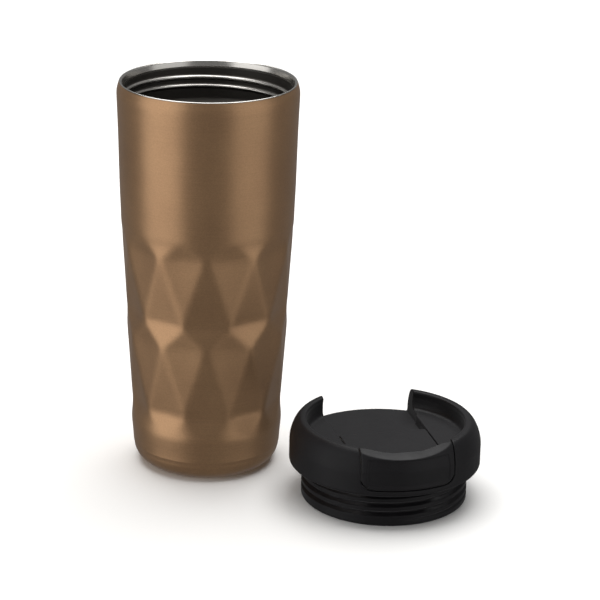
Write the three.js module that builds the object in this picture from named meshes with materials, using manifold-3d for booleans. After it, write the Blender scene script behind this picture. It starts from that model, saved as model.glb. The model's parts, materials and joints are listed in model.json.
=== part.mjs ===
// Double-walled steel travel tumbler with a faceted wall, and its screw lid with a flip lever.
// Millimetres, +Z up. The tumbler stands on z = 0 with its axis on the origin. The lid stands
// upright on the same surface beside it, turned a little about its own axis.
import * as THREE from 'three';
import { mergeVertices } from 'three/addons/utils/BufferGeometryUtils.js';
import Module from 'manifold-3d';

const wasm = await Module();
wasm.setup();

// ---- Driving dimensions -------------------------------------------------------------------

const GAP = 0.3; // clearance between neighbouring solids
const ROUND = 44; // sides of a large round piece
const HIDDEN_ROUND = 28; // sides of a large piece inside the wall
const SMALL_ROUND = 12; // sides of a pin, plug or pill

// Tumbler body
const BODY_HEIGHT = 172;
const SHEET = 0.6; // thickness of the pressed steel walls
const WALL_DEPTH = 4.2; // outer skin to the drink side, across the vacuum
const BASE_FLAT_R = 23.6; // flat ring that the body stands on
const BASE_EDGE_R = 8.5; // rounding between base and wall
const COVER_R = 21.7; // pressed cover set flush in the base
const LOWER_WALL = { z: 20.3, r: 33.3 }; // where the straight taper starts
const UPPER_WALL = { z: 125, r: 37.85 }; // where the straight taper ends
const SHOULDER = { z: 150, r: 38.4 };
const WIDEST = { z: 166.5, r: 39 };
const TURN_IN = { z: 169.4, r: 38.7 }; // where the top edge turns in under the lip
const SHELL_TOP = { z: 171.2, r: 38.15 };

// Faceted belt: rings of corners, each ring half a step round from the next
const FACET_COUNT = 11;
const FACET_PHASE = THREE.MathUtils.degToRad(2);
const FACET_SPLIT = 2; // mesh rows between two rings of corners
const FACET_RINGS = [
  { z: 20.3, shift: 0, sink: 0 },
  { z: 29.5, shift: 0.5, sink: 0.6 },
  { z: 62, shift: 0, sink: -0.5 },
  { z: 72, shift: 0.5, sink: 0.4 },
  { z: 102.8, shift: 0, sink: -0.6 },
  { z: 110.6, shift: 0.5, sink: 0 },
];

// Mouth and lining
const LIP_R = 38.2; // rolled lip, closing the gap between lining and wall
const MOUTH_R = 36.2;
const NECK_DEPTH = 17; // straight neck below the rim, before the lining narrows
const MOUTH_THREAD_DEPTHS = [7.7, 11.6]; // rolled ridges, measured down from the rim
const MOUTH_THREAD_RISE = 0.9;
const MOUTH_THREAD_HALF = 1.1;
const LINING_SPLIT = 18; // seam between lining tube and lining bottom
const LINING_FLOOR = 9.4;
const LINING_CORNER_R = 7;

// Base, seal and getter
const INNER_BASE = { z: 3.8, r: 29.6, lip: 3 };
const SEAL_HOLE_R = 1.6;
const GETTER = { x: 14, r: 4, height: 2.2 };

// Lid, in its own frame: front towards -Y, base on z = 0
const LID_X = 78.27;
const LID_Y = -37.3;
const LID_TURN = THREE.MathUtils.degToRad(14.3);
const LID_R = 41.1;
const COLLAR_BOTTOM = 15.65;
const COLLAR_SHOULDER = 25;
const LID_TOP = 34.6;
const LIP_INNER_R = 35;
const SKIRT_R = 39.3; // inside of the collar where it hangs over the tumbler's rim
const SHELF = 17; // ledge under the lid's wall, over the gasket and the insert
const GASKET_THICK = 1.1;
const CORE_R = 31.8; // hollow under the deck, inside the insert
const CORE_TOP = 20;
const DECK = 22.2; // floor of the lever channel
const PLATFORM = 26.3; // raised floor either side of the channel
const PLATFORM_R = 36.2;
const CHANNEL_HALF = 19.6;
const NOTCH_HALF = 20.4; // half width of the collar's front and rear openings
const NOTCH_BOTTOM = 18;
const DRINK_WALL_R = 38.2;
const DRINK_WALL_TOP = 23.3;
const CORNER_R = 4.5;

// Threaded insert
const INSERT_R = 35.7;
const INSERT_WALL = 3.2;
const INSERT_FLOOR = 1.6;
const INSERT_GROOVES = [5.7, 9.8, 13.9];
const GROOVE_DEPTH = 1.6;
const GROOVE_HALF = 1.1;

// Drink and vent passages, running down through the insert
const DRINK = { y: -26, halfLength: 4, r: 3, wall: 1.5 };
const VENT = { y: -9, r: 1.3, wall: 1.3 };
const PASSAGE_BOTTOM = 0.5;

// Flip lever
const HINGE_Y = 3.5;
const HINGE_Z = 24.4;
const HINGE_R = 1.9;
const PIN_R = 0.8;
const PIN_BORE_R = 1.1;
const LEVER_HALF = 19.2;
const PLATE_BOTTOM = 23.9;
const PANEL_HALF = 20;
const PANEL_R = 40.95;
const PANEL_INNER_R = 38.6;
const PANEL_BOTTOM = 18.4;

// ---- Finishes -----------------------------------------------------------------------------

const bronzePaint = { color: '#8f6b4a', roughness: 0.4, metalness: 0.6 };
const polishedSteel = { color: '#c9c7c3', roughness: 0.2, metalness: 1 };
const plainSteel = { color: '#9b9a97', roughness: 0.45, metalness: 1 };
const blackPlastic = { color: '#1c1b1b', roughness: 0.5, metalness: 0 };
const softSilicone = { color: '#2a2a2b', roughness: 0.8, metalness: 0 };
const clearResin = { color: '#b9b2a4', roughness: 0.5, metalness: 0 };
const getterMetal = { color: '#77736c', roughness: 0.7, metalness: 0.5 };

// ---- Solid helpers ------------------------------------------------------------------------

function signedVolume(position, index) {
  const a = new THREE.Vector3();
  const b = new THREE.Vector3();
  const c = new THREE.Vector3();
  let volume = 0;
  for (let i = 0; i < index.length; i += 3) {
    a.fromBufferAttribute(position, index[i]);
    b.fromBufferAttribute(position, index[i + 1]);
    c.fromBufferAttribute(position, index[i + 2]);
    volume += a.dot(b.cross(c)) / 6;
  }
  return volume;
}

// Shares the vertices of a closed geometry, drops collapsed triangles and faces it outwards.
function closeUp(source) {
  const geometry = source.clone();
  geometry.deleteAttribute('normal');
  geometry.deleteAttribute('uv');
  const merged = mergeVertices(geometry, 1e-4);
  const kept = [];
  for (let i = 0; i < merged.index.count; i += 3) {
    const corners = [0, 1, 2].map((n) => merged.index.getX(i + n));
    if (new Set(corners).size === 3) {
      kept.push(...corners);
    }
  }
  if (signedVolume(merged.attributes.position, kept) < 0) {
    kept.reverse();
  }
  merged.setIndex(kept);
  return merged;
}

function toSolid(geometry) {
  const closed = closeUp(geometry);
  const vertProperties = new Float32Array(closed.attributes.position.array);
  const triVerts = new Uint32Array(closed.index.array);
  return new wasm.Manifold(new wasm.Mesh({ numProp: 3, vertProperties, triVerts }));
}

function toGeometry(solid) {
  const { vertProperties, triVerts } = solid.getMesh();
  const geometry = new THREE.BufferGeometry();
  geometry.setAttribute('position', new THREE.BufferAttribute(vertProperties, 3));
  geometry.setIndex(new THREE.BufferAttribute(triVerts, 1));
  return geometry;
}

// Revolves a closed outline of [radius, height] points about the Z axis.
function turned(outline, sides = ROUND) {
  const points = outline.map(([r, z]) => new THREE.Vector2(r, z));
  return new THREE.LatheGeometry(points, sides).rotateX(Math.PI / 2);
}

// The same, for an outline that has to be closed back to its first point.
function turnedRing(outline, sides = ROUND) {
  return turned([...outline, outline[0]], sides);
}

function rod(radius, bottom, top, x = 0, y = 0, sides = SMALL_ROUND) {
  const geometry = new THREE.CylinderGeometry(radius, radius, top - bottom, sides);
  return geometry.rotateX(Math.PI / 2).translate(x, y, (top + bottom) / 2);
}

function crossRod(radius, from, to, y, z) {
  const geometry = new THREE.CylinderGeometry(radius, radius, to - from, SMALL_ROUND);
  return geometry.rotateZ(Math.PI / 2).translate((from + to) / 2, y, z);
}

function block(low, high) {
  const size = high.map((value, i) => value - low[i]);
  const middle = high.map((value, i) => (value + low[i]) / 2);
  return new THREE.BoxGeometry(...size).translate(...middle);
}

// A slot with round ends, long in X, standing from bottom to top.
function slotPrism(halfLength, radius, bottom, top, y) {
  const outline = new THREE.Shape();
  outline.absarc(halfLength, 0, radius, -Math.PI / 2, Math.PI / 2);
  outline.absarc(-halfLength, 0, radius, Math.PI / 2, Math.PI * 1.5);
  const settings = { depth: top - bottom, bevelEnabled: false, curveSegments: 8 };
  return new THREE.ExtrudeGeometry(outline, settings).translate(0, y, bottom);
}

// A plate seen from the front: straight sides, rounded lower corners, running from y = near to far.
function frontOutline(half, bottom, top, near, far) {
  const outline = new THREE.Shape();
  outline.moveTo(half, top);
  outline.lineTo(-half, top);
  outline.lineTo(-half, bottom + CORNER_R);
  outline.absarc(-half + CORNER_R, bottom + CORNER_R, CORNER_R, Math.PI, Math.PI * 1.5);
  outline.absarc(half - CORNER_R, bottom + CORNER_R, CORNER_R, Math.PI * 1.5, Math.PI * 2);
  outline.closePath();
  const settings = { depth: far - near, bevelEnabled: false, curveSegments: 4 };
  return new THREE.ExtrudeGeometry(outline, settings).rotateX(Math.PI / 2).translate(0, far, 0);
}

function piece(name, geometry, finish) {
  const mesh = new THREE.Mesh(closeUp(geometry), new THREE.MeshStandardMaterial(finish));
  mesh.name = name;
  return mesh;
}

// ---- Tumbler wall -------------------------------------------------------------------------

const WALL_LINE = [LOWER_WALL, UPPER_WALL, SHOULDER, WIDEST, TURN_IN, SHELL_TOP];

// Radius of the smooth outer wall at height z, above the rounded base edge.
function wallRadius(z) {
  const foot = { z: BASE_EDGE_R, r: BASE_FLAT_R + BASE_EDGE_R };
  const line = [foot, ...WALL_LINE];
  const next = Math.max(1, line.findIndex((point) => point.z >= z));
  const from = line[next - 1];
  const to = line[next];
  return THREE.MathUtils.mapLinear(z, from.z, to.z, from.r, to.r);
}

function polar(radius, angle, z) {
  return new THREE.Vector3(radius * Math.sin(angle), -radius * Math.cos(angle), z);
}

const STEP = (2 * Math.PI) / FACET_COUNT;
const STEP_COLUMNS = 2 * FACET_SPLIT;
const COLUMNS = STEP_COLUMNS * FACET_COUNT;

function facetCorner(ring, number) {
  const radius = wallRadius(ring.z) - ring.sink;
  return polar(radius, FACET_PHASE + (number + ring.shift) * STEP, ring.z);
}

// Points from one to another: straight across a flat facet, or round the axis beside a smooth wall.
function span(from, to, count, isRound) {
  const radii = [Math.hypot(from.x, from.y), Math.hypot(to.x, to.y)];
  const start = Math.atan2(from.x, -from.y);
  const turn = Math.atan2(to.x, -to.y) - start;
  const sweep = turn < 0 ? turn + 2 * Math.PI : turn;
  return Array.from({ length: count }, (_, i) => {
    const t = i / count;
    return isRound
      ? polar(THREE.MathUtils.lerp(...radii, t), start + sweep * t, from.z)
      : from.clone().lerp(to, t);
  });
}

// One ring of points in the band between two rings of corners, row steps up from the lower one.
function facetRow(lower, upper, row) {
  const t = row / FACET_SPLIT;
  const apexShift = upper.shift > lower.shift ? 0 : 1;
  const points = [];
  for (let k = 0; k < FACET_COUNT; k += 1) {
    const apex = facetCorner(upper, k + apexShift);
    const nextApex = facetCorner(upper, k + apexShift + 1);
    const left = facetCorner(lower, k).lerp(apex, t);
    const right = facetCorner(lower, k + 1).lerp(apex, t);
    const beyond = facetCorner(lower, k + 1).lerp(nextApex, t);
    points.push(...span(left, right, STEP_COLUMNS - 2 * row, lower === FACET_RINGS[0]));
    points.push(...span(right, beyond, 2 * row, upper === FACET_RINGS.at(-1)));
  }
  // The row starts on its first ridge, so it is turned back to start at column 0.
  const offset = row + lower.shift * STEP_COLUMNS;
  return points.map((_, i) => points[(i - offset + COLUMNS) % COLUMNS]);
}

function roundRow(radius, z) {
  const angle = (column) => FACET_PHASE + (column * STEP) / STEP_COLUMNS;
  return Array.from({ length: COLUMNS }, (_, column) => polar(radius, angle(column), z));
}

// Rows up the outside of the wall. leansBack says which half of a step is cut by a backward diagonal.
function wallRows() {
  const rows = [];
  const add = (points, shift = 0) => rows.push({ points, shift });
  for (const angle of [0, Math.PI / 6, Math.PI / 3]) {
    const out = BASE_FLAT_R + BASE_EDGE_R * Math.sin(angle);
    add(roundRow(out, BASE_EDGE_R * (1 - Math.cos(angle))));
  }
  add(roundRow(BASE_FLAT_R + BASE_EDGE_R, BASE_EDGE_R));
  for (let band = 0; band < FACET_RINGS.length - 1; band += 1) {
    for (let row = 0; row < FACET_SPLIT; row += 1) {
      add(facetRow(FACET_RINGS[band], FACET_RINGS[band + 1], row), FACET_RINGS[band].shift);
    }
  }
  const beltTop = FACET_RINGS.at(-1);
  add(roundRow(wallRadius(beltTop.z) - beltTop.sink, beltTop.z));
  for (const { r, z } of WALL_LINE.slice(1)) {
    add(roundRow(r, z));
  }
  return rows;
}

// The same rows moved in by the sheet's thickness, from the top down to just above the base.
function liningRows(rows) {
  const inner = rows.map(({ points, shift }) => ({
    shift,
    points: points.map((point) => {
      const radius = Math.hypot(point.x, point.y);
      const scale = (radius - SHEET) / radius;
      return new THREE.Vector3(point.x * scale, point.y * scale, Math.max(point.z, SHEET));
    }),
  }));
  return inner.reverse();
}

function outerShell() {
  const up = wallRows();
  const down = liningRows(up);
  const foot = [SHEET, 0].map((z) => ({ points: roundRow(COVER_R + GAP, z), shift: 0 }));
  const loop = [...up, ...down, ...foot];
  const vertices = loop.flatMap(({ points }) => points.flatMap((point) => point.toArray()));
  const index = [];
  for (let i = 0; i < loop.length; i += 1) {
    const j = (i + 1) % loop.length;
    const lowerRow = i < up.length ? loop[i] : loop[j];
    for (let c = 0; c < COLUMNS; c += 1) {
      const local = (c + COLUMNS - lowerRow.shift * STEP_COLUMNS) % STEP_COLUMNS;
      const rising = (local < FACET_SPLIT) === (i < up.length);
      const a = i * COLUMNS + c;
      const b = i * COLUMNS + ((c + 1) % COLUMNS);
      const d = j * COLUMNS + c;
      const e = j * COLUMNS + ((c + 1) % COLUMNS);
      index.push(...(rising ? [a, b, e, a, e, d] : [a, b, d, b, e, d]));
    }
  }
  const geometry = new THREE.BufferGeometry();
  geometry.setAttribute('position', new THREE.Float32BufferAttribute(vertices, 3));
  geometry.setIndex(index);
  return geometry;
}

// ---- Lining, base and seal ----------------------------------------------------------------

function liningRadius(z) {
  return wallRadius(z) - WALL_DEPTH;
}

function liningTube() {
  const neckBottom = BODY_HEIGHT - NECK_DEPTH;
  const neckFoot = neckBottom - 4;
  const inside = [
    [liningRadius(LINING_SPLIT), LINING_SPLIT],
    [liningRadius(neckFoot), neckFoot],
    [MOUTH_R, neckBottom],
  ];
  for (const depth of [...MOUTH_THREAD_DEPTHS].reverse()) {
    const middle = BODY_HEIGHT - depth;
    const crest = MOUTH_R - MOUTH_THREAD_RISE;
    inside.push([MOUTH_R, middle - MOUTH_THREAD_HALF]);
    inside.push([crest, middle - MOUTH_THREAD_HALF / 2]);
    inside.push([crest, middle + MOUTH_THREAD_HALF / 2]);
    inside.push([MOUTH_R, middle + MOUTH_THREAD_HALF]);
  }
  const lip = [
    [MOUTH_R, BODY_HEIGHT - 2.5],
    [LIP_R - 1.3, BODY_HEIGHT - 0.4],
    [LIP_R - 0.7, BODY_HEIGHT],
    [LIP_R - 0.2, BODY_HEIGHT - 0.2],
    [LIP_R, SHELL_TOP.z + GAP],
    [LIP_R - 1, SHELL_TOP.z + GAP],
    [MOUTH_R + SHEET, BODY_HEIGHT - 3.6],
  ];
  const outside = [
    [MOUTH_R + SHEET, neckBottom],
    [liningRadius(neckFoot) + SHEET, neckFoot],
    [liningRadius(LINING_SPLIT) + SHEET, LINING_SPLIT],
  ];
  return turnedRing([...inside, ...lip, ...outside]);
}

// Pressed dish that closes the lining, with a rounded corner.
function liningBottom() {
  const top = LINING_SPLIT - GAP;
  const side = liningRadius(top);
  const centre = LINING_FLOOR + SHEET + LINING_CORNER_R;
  const corner = (radius, angle) => [
    side - LINING_CORNER_R + radius * Math.sin(angle),
    centre - radius * Math.cos(angle),
  ];
  const angles = [0, Math.PI / 6, Math.PI / 3, Math.PI / 2];
  const under = angles.map((angle) => corner(LINING_CORNER_R + SHEET, angle));
  const above = angles.map((angle) => corner(LINING_CORNER_R, angle)).reverse();
  const outline = [[0, LINING_FLOOR], ...under, [side, top], ...above, [0, LINING_FLOOR + SHEET]];
  return turned(outline, HIDDEN_ROUND);
}

// Inner base: the pressed end of the vacuum space, with a turned-up edge and the sealing hole.
function innerBase() {
  const { z, r, lip } = INNER_BASE;
  return turnedRing([
    [SEAL_HOLE_R, z],
    [r - 1, z],
    [r, z + 1],
    [r + 0.8, z + lip],
    [r + 0.2, z + lip],
    [r - 0.6, z + 1.3],
    [r - 1.3, z + SHEET],
    [SEAL_HOLE_R, z + SHEET],
  ], HIDDEN_ROUND);
}

function sealPlug() {
  const { z } = INNER_BASE;
  const stem = SEAL_HOLE_R - GAP;
  return turned([
    [0, z - 1.4],
    [2.4, z - 1.2],
    [3.2, z - GAP],
    [stem, z - GAP],
    [stem, z + SHEET + 0.4],
    [0, z + SHEET + 0.7],
  ], SMALL_ROUND);
}

// Flat pressed cover that hides the seal and gives the body its resting face.
function baseCover() {
  return turned([
    [0, 0],
    [COVER_R - 0.5, 0],
    [COVER_R, 0.5],
    [COVER_R, 1.4],
    [COVER_R - SHEET, 1.4],
    [COVER_R - SHEET, 0.8],
    [0, 0.8],
  ], HIDDEN_ROUND);
}

function getterPill() {
  const bottom = INNER_BASE.z + SHEET + GAP + SHEET + GAP;
  return rod(GETTER.r, bottom, bottom + GETTER.height, GETTER.x, 0);
}

// Spot-welded tray that holds the getter pill to the inner base.
function getterTray() {
  const bottom = INNER_BASE.z + SHEET + GAP;
  const inner = GETTER.r + GAP;
  return turned([
    [0, bottom],
    [inner + SHEET, bottom],
    [inner + SHEET, bottom + GETTER.height],
    [inner, bottom + GETTER.height],
    [inner, bottom + SHEET],
    [0, bottom + SHEET],
  ], SMALL_ROUND).translate(GETTER.x, 0, 0);
}

// ---- Lid ----------------------------------------------------------------------------------

// Rounded shoulder from the collar's straight side up and in to the lip, as [radius, height].
function shoulder() {
  const points = [];
  const steps = 5;
  for (let i = 0; i <= steps; i += 1) {
    const angle = (i / steps) * (Math.PI / 2);
    const across = LID_R - LIP_INNER_R - 0.6;
    const rise = LID_TOP - COLLAR_SHOULDER;
    points.push([LID_R - across * (1 - Math.cos(angle)), COLLAR_SHOULDER + rise * Math.sin(angle)]);
  }
  return points;
}

// Solid ring with the collar's outer shape, from bottom height up to the lip.
function collarRing(innerRadius, bottom) {
  return toSolid(turnedRing([
    [innerRadius, bottom],
    [LID_R, bottom],
    ...shoulder(),
    [LIP_INNER_R, LID_TOP - 0.6],
    [innerRadius, LID_TOP - 2.2],
  ]));
}

function leverCut() {
  const front = toSolid(frontOutline(NOTCH_HALF, NOTCH_BOTTOM, LID_TOP + 5, -LID_R - 5, -20));
  const wall = toSolid(rod(DRINK_WALL_R, 0, DRINK_WALL_TOP, 0, 0, ROUND));
  const rear = toSolid(block([-NOTCH_HALF, 20, DECK], [NOTCH_HALF, LID_R + 5, LID_TOP + 5]));
  const channel = toSolid(block([-CHANNEL_HALF, -34, DECK], [CHANNEL_HALF, 30, LID_TOP + 5]));
  return front.subtract(wall).add(rear).add(channel);
}

function passageTube() {
  const top = CORE_TOP + 1;
  const drink = toSolid(slotPrism(DRINK.halfLength, DRINK.r + DRINK.wall, PASSAGE_BOTTOM, top, DRINK.y));
  const vent = toSolid(rod(VENT.r + VENT.wall, PASSAGE_BOTTOM, top, 0, VENT.y));
  return drink.add(vent);
}

function passageHoles() {
  const drink = toSolid(slotPrism(DRINK.halfLength, DRINK.r, -1, DECK + 1, DRINK.y));
  const vent = toSolid(rod(VENT.r, -1, DECK + 1, 0, VENT.y));
  return drink.add(vent);
}

// Hollows under the deck and its raised platforms, so that the moulding keeps an even wall.
function underCores() {
  const side = (sign) => {
    const x = [sign * 22, sign * 29].sort((a, b) => a - b);
    return toSolid(block([x[0], -11, SHELF - 1], [x[1], 11, PLATFORM - 2]));
  };
  const deck = toSolid(rod(CORE_R, SHELF - 1, CORE_TOP, 0, 0, ROUND));
  return deck.add(side(-1)).add(side(1));
}

function lidBody() {
  const pinHoles = toSolid(crossRod(PIN_BORE_R, -25.4, 25.4, HINGE_Y, HINGE_Z));
  const platform = toSolid(rod(PLATFORM_R, SHELF, PLATFORM, 0, 0, ROUND));
  const skirt = toSolid(turnedRing([
    [SKIRT_R, COLLAR_BOTTOM],
    [LID_R - 0.6, COLLAR_BOTTOM],
    [LID_R, COLLAR_BOTTOM + 0.6],
    [LID_R, SHELF + 1],
    [SKIRT_R, SHELF + 1],
  ]));
  const shell = collarRing(PLATFORM_R - 0.2, SHELF).add(platform).add(skirt);
  const hollow = shell.subtract(underCores()).add(passageTube());
  return toGeometry(hollow.subtract(leverCut()).subtract(passageHoles()).subtract(pinHoles));
}

function lidInsert() {
  const outside = [[INSERT_R - 0.8, 0], [INSERT_R, 0.8]];
  for (const z of INSERT_GROOVES) {
    outside.push([INSERT_R, z - GROOVE_HALF]);
    outside.push([INSERT_R - GROOVE_DEPTH, z]);
    outside.push([INSERT_R, z + GROOVE_HALF]);
  }
  const top = SHELF - GAP;
  const bore = INSERT_R - INSERT_WALL;
  const cup = toSolid(turned([
    [0, 0],
    ...outside,
    [INSERT_R - 0.6, COLLAR_BOTTOM],
    [INSERT_R - 0.6, top],
    [bore, top],
    [bore, INSERT_FLOOR],
    [0, INSERT_FLOOR],
  ]));
  const slack = DRINK.r + DRINK.wall + GAP;
  const drink = toSolid(slotPrism(DRINK.halfLength, slack, -1, SHELF, DRINK.y));
  const vent = toSolid(rod(VENT.r + VENT.wall + GAP, -1, SHELF, 0, VENT.y));
  return toGeometry(cup.subtract(drink).subtract(vent));
}

function lidGasket() {
  const top = SHELF - GAP;
  return turnedRing([
    [INSERT_R - 0.3, top - GASKET_THICK],
    [SKIRT_R - GAP, top - GASKET_THICK],
    [SKIRT_R - GAP, top],
    [INSERT_R - 0.3, top],
  ]);
}

function flipLever() {
  const front = toSolid(frontOutline(PANEL_HALF, PANEL_BOTTOM, LID_TOP + 5, -LID_R - 5, -20));
  const upper = collarRing(PLATFORM_R - 0.2, PLATE_BOTTOM);
  const skin = toSolid(turnedRing([
    [PANEL_INNER_R, PANEL_BOTTOM - 1],
    [PANEL_R, PANEL_BOTTOM - 1],
    [PANEL_R, PLATE_BOTTOM + 1],
    [PANEL_INNER_R, PLATE_BOTTOM + 1],
  ]));
  const inward = toSolid(rod(PANEL_R, 0, LID_TOP + 5, 0, 0, ROUND * 2));
  const panel = upper.add(skin).intersect(front).intersect(inward);
  const plate = toSolid(block([-LEVER_HALF, -PLATFORM_R, PLATE_BOTTOM], [LEVER_HALF, HINGE_Y, PLATFORM]));
  const barrel = toSolid(crossRod(HINGE_R, -LEVER_HALF, LEVER_HALF, HINGE_Y, HINGE_Z));
  const round = toSolid(rod(PLATFORM_R, 0, LID_TOP, 0, 0, ROUND));
  const arm = plate.intersect(round).add(barrel).add(panel);
  const bores = toSolid(crossRod(PIN_BORE_R, -LEVER_HALF - 1, -13, HINGE_Y, HINGE_Z))
    .add(toSolid(crossRod(PIN_BORE_R, 13, LEVER_HALF + 1, HINGE_Y, HINGE_Z)));
  return toGeometry(arm.subtract(bores));
}

function hingePin(side) {
  const ends = [side * 13.3, side * 25.1].sort((a, b) => a - b);
  return crossRod(PIN_R, ends[0], ends[1], HINGE_Y, HINGE_Z);
}

// Silicone pad under the lever: a lip that covers the hole and a nose that fills it.
function drinkPlug() {
  const top = PLATE_BOTTOM - GAP;
  const lip = toSolid(slotPrism(DRINK.halfLength, DRINK.r + 1.2, DECK + GAP, top, DRINK.y));
  const nose = toSolid(slotPrism(DRINK.halfLength, DRINK.r - GAP, DECK - 1.6, DECK + 1, DRINK.y));
  return toGeometry(lip.add(nose));
}

function ventPlug() {
  const top = PLATE_BOTTOM - GAP;
  return turned([
    [0, DECK - 1],
    [VENT.r - GAP, DECK - 0.8],
    [VENT.r - GAP, DECK + GAP],
    [VENT.r + 0.9, DECK + GAP],
    [VENT.r + 0.9, top],
    [0, top],
  ], SMALL_ROUND).translate(0, VENT.y, 0);
}

// ---- Assembly -----------------------------------------------------------------------------

const tumbler = new THREE.Group();
tumbler.add(
  piece('outer_shell', outerShell(), bronzePaint),
  piece('lining_tube', liningTube(), polishedSteel),
  piece('lining_bottom', liningBottom(), polishedSteel),
  piece('inner_base', innerBase(), plainSteel),
  piece('seal_plug', sealPlug(), clearResin),
  piece('getter_tray', getterTray(), plainSteel),
  piece('getter_pill', getterPill(), getterMetal),
  piece('base_cover', baseCover(), plainSteel),
);

const lid = new THREE.Group();
lid.position.set(LID_X, LID_Y, 0);
lid.rotation.z = LID_TURN;
lid.add(
  piece('lid_body', lidBody(), blackPlastic),
  piece('lid_insert', lidInsert(), blackPlastic),
  piece('lid_gasket', lidGasket(), softSilicone),
  piece('flip_lever', flipLever(), blackPlastic),
  piece('drink_plug', drinkPlug(), softSilicone),
  piece('vent_plug', ventPlug(), softSilicone),
  piece('hinge_pin_left', hingePin(-1), plainSteel),
  piece('hinge_pin_right', hingePin(1), plainSteel),
);

const assembly = new THREE.Group();
assembly.add(tumbler, lid);

export default assembly;
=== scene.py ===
"""A faceted steel travel tumbler and its screw lid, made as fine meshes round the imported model."""

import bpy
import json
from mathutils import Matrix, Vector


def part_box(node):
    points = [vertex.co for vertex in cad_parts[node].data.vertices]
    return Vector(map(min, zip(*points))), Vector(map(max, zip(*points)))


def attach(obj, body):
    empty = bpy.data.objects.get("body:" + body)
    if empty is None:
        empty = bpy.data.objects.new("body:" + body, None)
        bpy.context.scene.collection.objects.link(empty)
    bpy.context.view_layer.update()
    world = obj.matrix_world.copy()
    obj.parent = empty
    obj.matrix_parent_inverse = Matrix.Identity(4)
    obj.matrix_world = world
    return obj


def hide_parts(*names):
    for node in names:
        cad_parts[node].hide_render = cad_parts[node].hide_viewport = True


bl_info = {
    "name": "Faceted Travel Tumbler",
    "version": (1, 0, 0),
    "blender": (4, 5, 0),
    "location": "View3D > Sidebar > Tumbler",
    "description": "Builds a double-walled travel tumbler and its screw lid with a flip lever",
    "category": "Object",
}

import json
import math

import bmesh
import bpy
import numpy as np
from bpy.props import FloatProperty, IntProperty, PointerProperty, StringProperty
from mathutils import Matrix, Vector

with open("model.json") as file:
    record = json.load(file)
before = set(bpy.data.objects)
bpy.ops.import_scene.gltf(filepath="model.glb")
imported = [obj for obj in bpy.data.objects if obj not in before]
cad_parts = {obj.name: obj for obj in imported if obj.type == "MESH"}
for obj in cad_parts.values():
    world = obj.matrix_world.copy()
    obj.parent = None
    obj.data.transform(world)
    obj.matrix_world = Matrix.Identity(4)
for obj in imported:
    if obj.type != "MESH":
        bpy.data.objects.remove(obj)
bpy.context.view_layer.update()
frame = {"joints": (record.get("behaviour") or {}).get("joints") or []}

MM = 0.001
MERGE = 1e-6  # points nearer than this, in metres, become one
CRISP = math.radians(40)  # edges that turn more than this stay crisp


def middle(node):
    """The centre of a CAD node's box."""
    low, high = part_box(node)
    return (Vector(low) + Vector(high)) / 2


LID_CENTRE = middle("lid_insert")
BODY_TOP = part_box("lining_tube")[1][2]
LID_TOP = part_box("lid_body")[1][2]
INSERT_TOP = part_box("lid_insert")[1][2]
COVER_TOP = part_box("base_cover")[1][2]
INNER_BASE_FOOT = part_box("inner_base")[0][2]
INNER_BASE_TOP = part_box("inner_base")[1][2]
GETTER_CENTRE = middle("getter_pill")
DRINK_CENTRE = middle("drink_plug")
LID_TURN = math.atan2(DRINK_CENTRE[0] - LID_CENTRE[0], LID_CENTRE[1] - DRINK_CENTRE[1])
LID_PLACE = Matrix.Translation((LID_CENTRE[0], LID_CENTRE[1], 0)) @ Matrix.Rotation(LID_TURN, 4, "Z")
HINGE = next(joint for joint in frame["joints"] if joint["name"] == "lever_flip")
HINGE_PLACE = LID_PLACE.inverted() @ Vector(HINGE["pos_m"])


# ---- Sizes and colours that a user would change --------------------------------------------


def length(name, description, millimetres):
    """A property that holds a length, given in millimetres."""
    return FloatProperty(name=name, description=description, default=millimetres * MM, min=0.0,
                         unit="LENGTH", subtype="DISTANCE", precision=5)


def colour(name, description, hex_value):
    """A property that holds an sRGB hex colour as text."""
    return StringProperty(name=name, description=description, default=hex_value)


class TumblerSizes(bpy.types.PropertyGroup):
    """Sizes of the tumbler's body."""

    facet_count: IntProperty(name="Facets", description="Facets round the belt", default=11, min=5)
    facet_phase: FloatProperty(name="Facet phase", description="Turn of the first corner from the front",
                               default=math.radians(2.0), subtype="ANGLE")
    facet_softness: length("Facet softness", "Rounding of the pressed corners", 1.5)
    facet_hollow: FloatProperty(name="Facet hollow", description="Depth of the facets, 1 when they are flat",
                                default=1.1, min=0.0)
    sheet: length("Sheet", "Thickness of the pressed walls", 0.6)
    wall_depth: length("Wall depth", "From the outer skin to the drink side", 4.2)
    base_flat: length("Base flat", "Radius of the flat that the body stands on", 23.6)
    base_edge: length("Base edge", "Rounding between base and wall", 8.5)
    cover_radius: length("Cover radius", "Radius of the base cover", 21.7)
    lip_radius: length("Lip radius", "Outer radius of the lip", 38.2)
    mouth_radius: length("Mouth radius", "Inner radius of the neck", 36.2)
    thread_pitch: length("Thread pitch", "Rise of the thread in one turn", 3.9)
    thread_rise: length("Thread rise", "How far the rolled ridge stands in", 0.95)


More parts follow.
